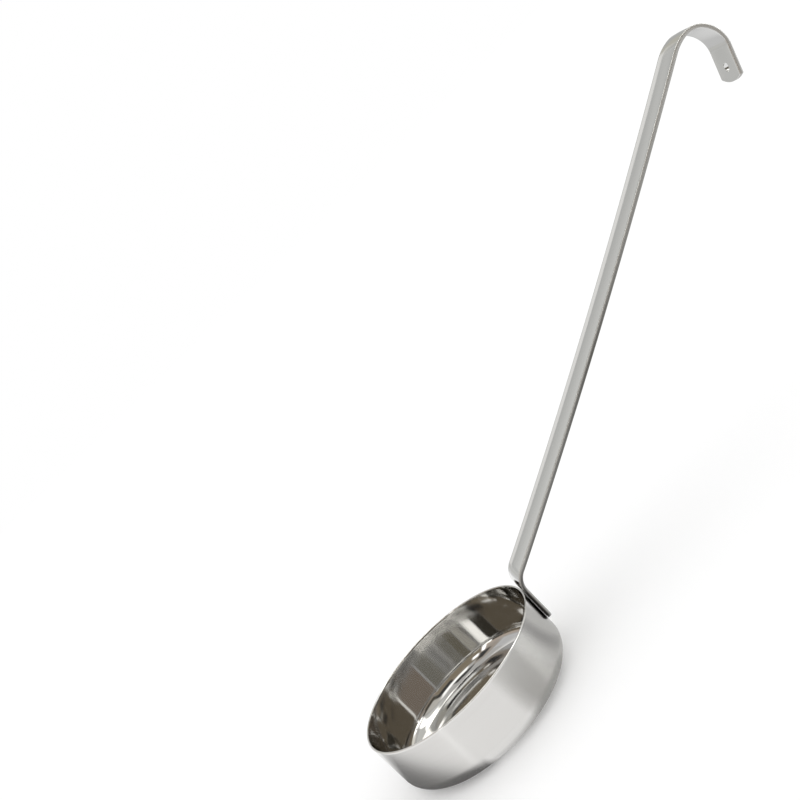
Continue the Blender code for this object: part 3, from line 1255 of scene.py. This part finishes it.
# A card's values: name, tone, azimuths, elevations, soft sides, soft ends, slant and reach.
# A mat's values: name, tone, azimuths, inner and outer radius, soft sides, soft ends and level.
# A nearer card or a higher mat covers the others.
BROWN = (0.32, 0.27, 0.20)
WARM_GREY = (0.55, 0.535, 0.475)
BLACK = (0.06, 0.06, 0.06)
SHEETS = (
    Card("room", (0.62, 0.61, 0.59), (-180.0, 186.0), (24.0, 95.0), (3.0, 3.0), (4.0, 0.0), 0.0, 2.3),
    Card("brown_front", BROWN, (142.0, 222.0), (1.0, 58.0), (3.0, 1.0), (2.0, 5.0)),
    Card("strip_lamp", (2.6, 2.6, 2.55), (221.0, 230.0), (1.0, 40.0), (3.5, 3.5), (2.0, 6.0), 0.0, 1.9),
    Card("strip_lamp_high", (2.2, 2.2, 2.15), (206.0, 221.0), (33.0, 50.0), (5.0, 3.5), (5.0, 5.0),
         0.0, 1.85),
    Card("pale_top", (1.7, 1.7, 1.65), (120.0, 207.0), (56.0, 73.0), (8.0, 6.0), (3.0, 5.0), 0.0, 1.95),
    Card("brown_left", (0.60, 0.51, 0.43), (-140.0, -54.5), (1.0, 34.0), (1.0, 2.0), (2.0, 8.0)),
    Card("grey_back", WARM_GREY, (-50.5, 40.0), (-2.0, 34.0), (1.0, 4.0), (9.0, 8.0)),
    Card("grey_low", (0.61, 0.61, 0.60), (-50.5, 40.0), (-2.0, 19.0), (1.0, 4.0), (9.0, 4.0), 0.0, 1.98),
    Card("slope", (0.77, 0.77, 0.75), (-44.0, -16.0), (8.0, 31.0), (8.0, 1.0), (2.0, 5.0), 1.74, 1.95),
    Card("grey_right", (0.49, 0.49, 0.48), (10.0, 40.0), (5.0, 20.0), (4.0, 4.0), (3.0, 2.0), 0.0, 1.94),
    Card("grey_high", (0.52, 0.52, 0.51), (-20.0, 25.0), (24.0, 42.0), (6.0, 6.0), (3.0, 6.0), 0.0, 1.97),
    Card("pale_low", (0.92, 0.91, 0.89), (-18.6, -5.0), (8.0, 26.0), (1.0, 5.0), (2.0, 2.0), 1.74, 1.9),
    Card("dark_slope", (0.50, 0.50, 0.49), (-30.0, -16.4), (9.0, 30.0), (11.0, 1.0), (2.0, 4.0), 1.74, 1.85),
    Card("olive_right", (0.42, 0.39, 0.31), (36.0, 61.0), (1.0, 34.0), (4.0, 3.0)),
    Card("pale_right", (1.05, 1.02, 0.93), (58.0, 86.0), (1.0, 34.0), (3.0, 3.0)),
    Card("window_low", (3.6, 3.6, 3.5), (82.0, 113.0), (1.0, 30.0), (14.0, 3.0)),
    Card("black_right", (0.10, 0.09, 0.07), (112.0, 145.0), (8.0, 58.0), (3.0, 3.0), (3.0, 5.0), 0.0, 1.97),
    Card("black_right_high", BLACK, (136.0, 172.0), (36.0, 58.0), (4.0, 5.0), (5.0, 4.0), 0.0, 1.96),
    Card("grey_side", (0.70, 0.68, 0.62), (112.0, 139.0), (30.0, 66.0), (3.0, 4.0), (4.0, 6.0), 0.0, 1.93),
    Card("wall_left", (0.72, 0.72, 0.72), (-112.0, -20.0), (32.0, 60.0), (6.0, 6.0)),
    Card("pale_high", (1.2, 1.19, 1.16), (-70.0, 50.0), (38.0, 72.0), (20.0, 6.0), (8.0, 8.0)),
    Card("brown_high", (0.50, 0.44, 0.38), (-142.0, -100.0), (30.0, 74.0), (4.0, 8.0), (4.0, 8.0), 0.0, 1.95),
    Card("black_left", BLACK, (-140.0, -114.0), (40.0, 66.0), (6.0, 8.0), (5.0, 5.0), 0.0, 1.9),
    Card("black_top", BLACK, (157.0, 240.0), (68.0, 86.0), (6.0, 12.0), (6.0, 4.0), 0.0, 1.9),
    Card("pale_window", (0.78, 0.78, 0.75), (-30.0, 114.0), (36.0, 82.0), (12.0, 8.0), (4.0, 8.0), 0.0, 1.9),
    Card("lamp_slope", (3.4, 3.35, 3.2), (93.0, 114.0), (34.0, 70.0), (5.0, 5.0), (3.0, 4.0), -0.9, 1.86),
    Card("lamp_top", (3.6, 3.55, 3.4), (-30.0, 88.0), (55.0, 72.0), (12.0, 4.0), (3.0, 5.0), 0.0, 1.84),
    Card("lamp_back", (3.6, 3.55, 3.4), (-40.0, 45.0), (64.0, 81.0), (10.0, 6.0), (3.0, 3.0), 0.0, 1.83),
    Card("black_spot", (0.12, 0.12, 0.12), (132.0, 152.0), (30.0, 48.0), (5.0, 5.0), (5.0, 5.0)),
    # The next two mats lie close round the cup: painted shadow of the floor, which the steel mirrors in place
    # of the floor's own shadow.
    Mat("mat_painted_shadow", (0.15, 0.15, 0.15), (-178.0, -58.0), 36.0 * MM, (43.0 * MM, 116.0 * MM),
        (18.0, 20.0), (2.0 * MM, 12.0 * MM)),
    Mat("mat_near_painted_shadow", (0.38, 0.38, 0.37), (108.0, 200.0), 36.0 * MM, (58.0 * MM, 46.0 * MM),
        (10.0, 45.0), (2.0 * MM, 12.0 * MM), -0.03 * MM),
    Mat("mat_side", (0.47, 0.465, 0.45), (118.0, 162.0), 40.0 * MM, (150.0 * MM, 120.0 * MM),
        (7.0, 14.0), (2.0 * MM, 40.0 * MM), -0.04 * MM),
    Mat("mat_far", (0.68, 0.68, 0.68), (-60.0, 64.0), 0.2, (5.0, 5.0), (10.0, 12.0), (0.25, 0.1)),
    Mat("mat_grey", (0.56, 0.56, 0.55), (60.0, 160.0), 36.0 * MM, (250.0 * MM, 110.0 * MM),
        (10.0, 20.0), (2.0 * MM, 20.0 * MM)),
    Mat("mat_patch", (0.30, 0.30, 0.30), (86.0, 108.0), 50.0 * MM, (140.0 * MM, 140.0 * MM),
        (8.0, 8.0), (10.0 * MM, 20.0 * MM), -0.04 * MM),
)


@dataclass
class Studio:
    """Camera, floor, sheets and light."""

    camera_place: tuple[float, float, float] = (0.0316, -0.4910, 0.2202)
    camera_aim: tuple[float, float, float] = (0.06471, 0.97877, -0.19448)
    camera_up: tuple[float, float, float] = (0.70419, 0.09329, 0.70385)
    lens: float = 55.57
    nearest: float = 10.0 * MM
    glossy_bounces: int = 12
    white: Colour = (1.0, 1.0, 1.0, 1.0)
    floor_size: float = 8.0
    floor_drop: float = 0.1 * MM
    floor_colour: Colour = (0.9, 0.9, 0.9, 1.0)
    floor_lift: float = 0.14
    mirrored_white: float = 1.12
    mirrored_share: float = 0.7
    sheets: tuple[Card | Mat, ...] = SHEETS

    def camera(self) -> bpy.types.Object:
        """Places the camera at the photograph's viewing angle.

        Returns:
            The camera.
        """
        data = bpy.data.cameras.new("camera")
        data.lens = self.lens
        data.clip_start = self.nearest
        camera = new_object("camera", data)
        aim = Vector(self.camera_aim).normalized()
        right = aim.cross(Vector(self.camera_up)).normalized()
        matrix = Matrix((right, right.cross(aim), -aim)).transposed().to_4x4()
        matrix.translation = Vector(self.camera_place)
        camera.matrix_world = matrix
        bpy.context.scene.camera = camera
        return camera

    def floor(self) -> bpy.types.Object:
        """Lays a plain white floor that keeps the ladle's shadow.

        Returns:
            The floor.
        """
        half = self.floor_size / 2
        corners = [(-half, -half), (half, -half), (half, half), (-half, half)]
        mesh = bpy.data.meshes.new("floor")
        mesh.from_pydata([(x, y, -self.floor_drop) for x, y in corners], [], [(0, 1, 2, 3)])
        floor = new_object("floor", mesh)
        material, graph = new_material("white_floor")
        plain = graph.node("ShaderNodeBsdfDiffuse", {"Color": self.floor_colour}).outputs[0]
        seen = graph.node("ShaderNodeLightPath").outputs
        lift = graph.product(seen["Is Camera Ray"], self.floor_lift)
        glow = graph.node("ShaderNodeEmission", {"Strength": lift}).outputs[0]
        both = graph.node("ShaderNodeAddShader", {0: plain, 1: glow}).outputs[0]
        white = graph.node("ShaderNodeEmission", {"Strength": self.mirrored_white}).outputs[0]
        share = graph.product(seen["Is Glossy Ray"], self.mirrored_share)
        graph.surface(graph.node("ShaderNodeMixShader", {0: share, 1: both, 2: white}).outputs[0])
        mesh.materials.append(material)
        return floor

    def world(self) -> None:
        """Plain white surroundings."""
        world = bpy.data.worlds.new("studio")
        bpy.context.scene.world = world
        world.use_nodes = True
        world.cycles.sampling_method = "NONE"
        graph = Graph(world.node_tree)
        light = graph.node("ShaderNodeBackground", {"Color": self.white, "Strength": 1.0})
        graph.node("ShaderNodeOutputWorld", {"Surface": light.outputs[0]})

    def build(self) -> None:
        """Sets up the whole studio."""
        self.camera()
        self.floor()
        self.world()
        for sheet in self.sheets:
            sheet.build()
        scene = bpy.context.scene
        scene.view_settings.view_transform = "Standard"
        scene.cycles.glossy_bounces = self.glossy_bounces


def corners(box: tuple[Vector, Vector]) -> list[list[float]]:
    """A box's two corners as plain lists."""
    return [list(corner) for corner in box]


def main() -> None:
    """Builds the ladle's looks and the studio."""
    logging.basicConfig(level=logging.INFO, format="%(message)s")
    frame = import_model()
    cup_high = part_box("cup")[1]
    pieces = [
        Cup(radius=cup_high[0], height=cup_high[2]).build(),
        Handle(cup_radius=cup_high[0], cup_height=cup_high[2]).build(),
        *Welds().dress(frame["nodes"]),
    ]
    for piece in pieces:
        LOG.info("%s: %d faces", piece.name, len(piece.data.polygons))
    Studio().build()


if __name__ == "__main__":
    main()
